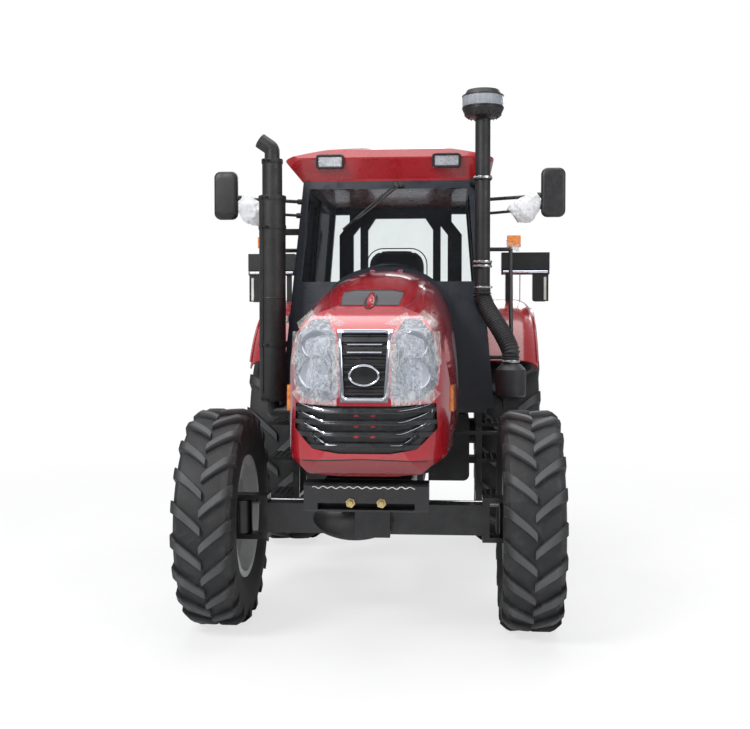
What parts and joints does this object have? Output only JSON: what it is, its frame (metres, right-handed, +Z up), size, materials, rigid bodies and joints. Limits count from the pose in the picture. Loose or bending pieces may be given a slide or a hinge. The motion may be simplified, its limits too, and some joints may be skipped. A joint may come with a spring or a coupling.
{
  "type": "farm tractor",
  "caption": "Four-wheel-drive farm tractor with a cab, front-tilting hood, hinged doors, steered front wheels and rear lift linkage.",
  "frame": {"origin": "on the ground under the middle of the machine's overall box", "axes": "front of the tractor to -Y, its left side to +X, +Z up"},
  "size_m": [2.24, 4.0788, 3.0799],
  "materials": {
    "tyre": "matt, dusty",
    "rim_paint": "semi-gloss off-white",
    "body_red": "gloss",
    "fender_red": "gloss",
    "black_paint": "satin",
    "cast_grey": "painted, matt",
    "cab_paint": "satin",
    "exhaust_black": "matt heat paint",
    "steel": "ground",
    "chrome_trim": "bright",
    "grille_plastic": "satin",
    "mesh_grey": "matt",
    "lamp_lens": "clear over reflector",
    "amber_lens": "gloss",
    "glass_clear": "clear",
    "trim_plastic": "fine grain",
    "seat_cover": "woven",
    "hose_rubber": "matt"
  },
  "bodies": {
    "root": {"front_axle": "black_paint", "front_support": "black_paint", "weight_bracket": "black_paint", "radiator": "black_paint", "engine_block": "cast_grey", "gearbox_housing": "cast_grey", "front_propshaft": "black_paint", "rear_axle_housing": "cast_grey", "drawbar": "black_paint", "cab_frame": "cab_paint", "cab_body": "cab_paint", "cab_glass": "glass_clear", "cab_roof": "body_red", "roof_lamps": "lamp_lens", "rear_fenders": "fender_red", "rear_lamps": "trim_plastic", "marker_lamps": "amber_lens", "handrails": "black_paint", "mirrors": "trim_plastic", "exhaust": "exhaust_black", "precleaner": "trim_plastic", "intake_stack": "black_paint", "intake_hose": "hose_rubber", "air_cleaner": "trim_plastic", "operator_seat": "seat_cover", "dashboard": "trim_plastic", "steering_wheel": "trim_plastic", "side_tanks": "trim_plastic", "steps": "black_paint"},
    "wheel_front_left": {"tyre_front_left": "tyre", "rim_front_left": "rim_paint"},
    "wheel_front_right": {"tyre_front_right": "tyre", "rim_front_right": "rim_paint"},
    "wheel_rear_left": {"tyre_rear_left": "tyre", "rim_rear_left": "rim_paint"},
    "wheel_rear_right": {"tyre_rear_right": "tyre", "rim_rear_right": "rim_paint"},
    "knuckle_left": {"knuckle_left": "black_paint"},
    "knuckle_right": {"knuckle_right": "black_paint"},
    "steering_rod": {"steering_rod": "steel"},
    "lower_links": {"lower_links": "black_paint"},
    "lift_arms": {"lift_arms": "black_paint"},
    "lift_rods": {"lift_rods": "black_paint"},
    "door_left": {"door_left": "cab_paint", "door_left_glass": "glass_clear"},
    "door_right": {"door_right": "cab_paint", "door_right_glass": "glass_clear"},
    "hood": {"hood_shell": "body_red", "hood_vents": "mesh_grey", "headlamps": "lamp_lens", "grille_surround": "chrome_trim", "grilles": "grille_plastic", "side_lamps": "amber_lens"}
  },
  "joints": [
    {"name": "steer_left", "type": "hinge", "parent": "root", "child": "knuckle_left", "pos_m": [0.73, -1.375, 0.582], "axis": [0, 0, 1], "range_deg": [-35, 35]},
    {"name": "steer_right", "type": "hinge", "parent": "root", "child": "knuckle_right", "pos_m": [-0.73, -1.375, 0.582], "axis": [0, 0, 1], "range_deg": [-35, 35]},
    {"name": "steering_slide", "type": "slide", "parent": "root", "child": "steering_rod", "axis": [1, 0, 0], "range_m": [-0.1008, 0.1008]},
    {"name": "spin_front_left", "type": "hinge", "parent": "knuckle_left", "child": "wheel_front_left", "pos_m": [0.82, -1.375, 0.582], "axis": [1, 0, 0], "continuous": true},
    {"name": "spin_rear_left", "type": "hinge", "parent": "root", "child": "wheel_rear_left", "pos_m": [0.8, 0.965, 0.832], "axis": [1, 0, 0], "continuous": true},
    {"name": "door_left_swing", "type": "hinge", "parent": "root", "child": "door_left", "pos_m": [0.62582, 0.365, 1.8009], "axis": [-0.0819, 0, 0.9966], "range_deg": [0, 50]},
    {"name": "spin_front_right", "type": "hinge", "parent": "knuckle_right", "child": "wheel_front_right", "pos_m": [-0.82, -1.375, 0.582], "axis": [1, 0, 0], "continuous": true},
    {"name": "spin_rear_right", "type": "hinge", "parent": "root", "child": "wheel_rear_right", "pos_m": [-0.8, 0.965, 0.832], "axis": [1, 0, 0], "continuous": true},
    {"name": "door_right_swing", "type": "hinge", "parent": "root", "child": "door_right", "pos_m": [-0.62582, 0.365, 1.8009], "axis": [-0.0819, 0, -0.9966], "range_deg": [0, 50]},
    {"name": "hood_tilt", "type": "hinge", "parent": "root", "child": "hood", "pos_m": [0, -0.44, 1.955], "axis": [-1, 0, 0], "range_deg": [0, 50]},
    {"name": "lift_links", "type": "hinge", "parent": "root", "child": "lower_links", "pos_m": [0, 1.145, 0.52], "axis": [1, 0, 0], "range_deg": [-15, 28]},
    {"name": "lift_arms_turn", "type": "hinge", "parent": "root", "child": "lift_arms", "pos_m": [0, 1.23, 1.06], "axis": [1, 0, 0], "range_deg": [-24.2, 45.1]},
    {"name": "lift_rods_turn", "type": "hinge", "parent": "lift_arms", "child": "lift_rods", "pos_m": [0, 1.49548, 1.0108], "axis": [1, 0, 0], "range_deg": [-45.1, 24.2]}
  ],
  "couplings": [
    {"joint": "steer_right", "follows": "steer_left", "ratio": 1},
    {"joint": "steering_slide", "follows": "steer_left", "m_per_rad": -0.165},
    {"joint": "lift_arms_turn", "follows": "lift_links", "ratio": 1.61},
    {"joint": "lift_rods_turn", "follows": "lift_links", "ratio": -1.61}
  ]
}
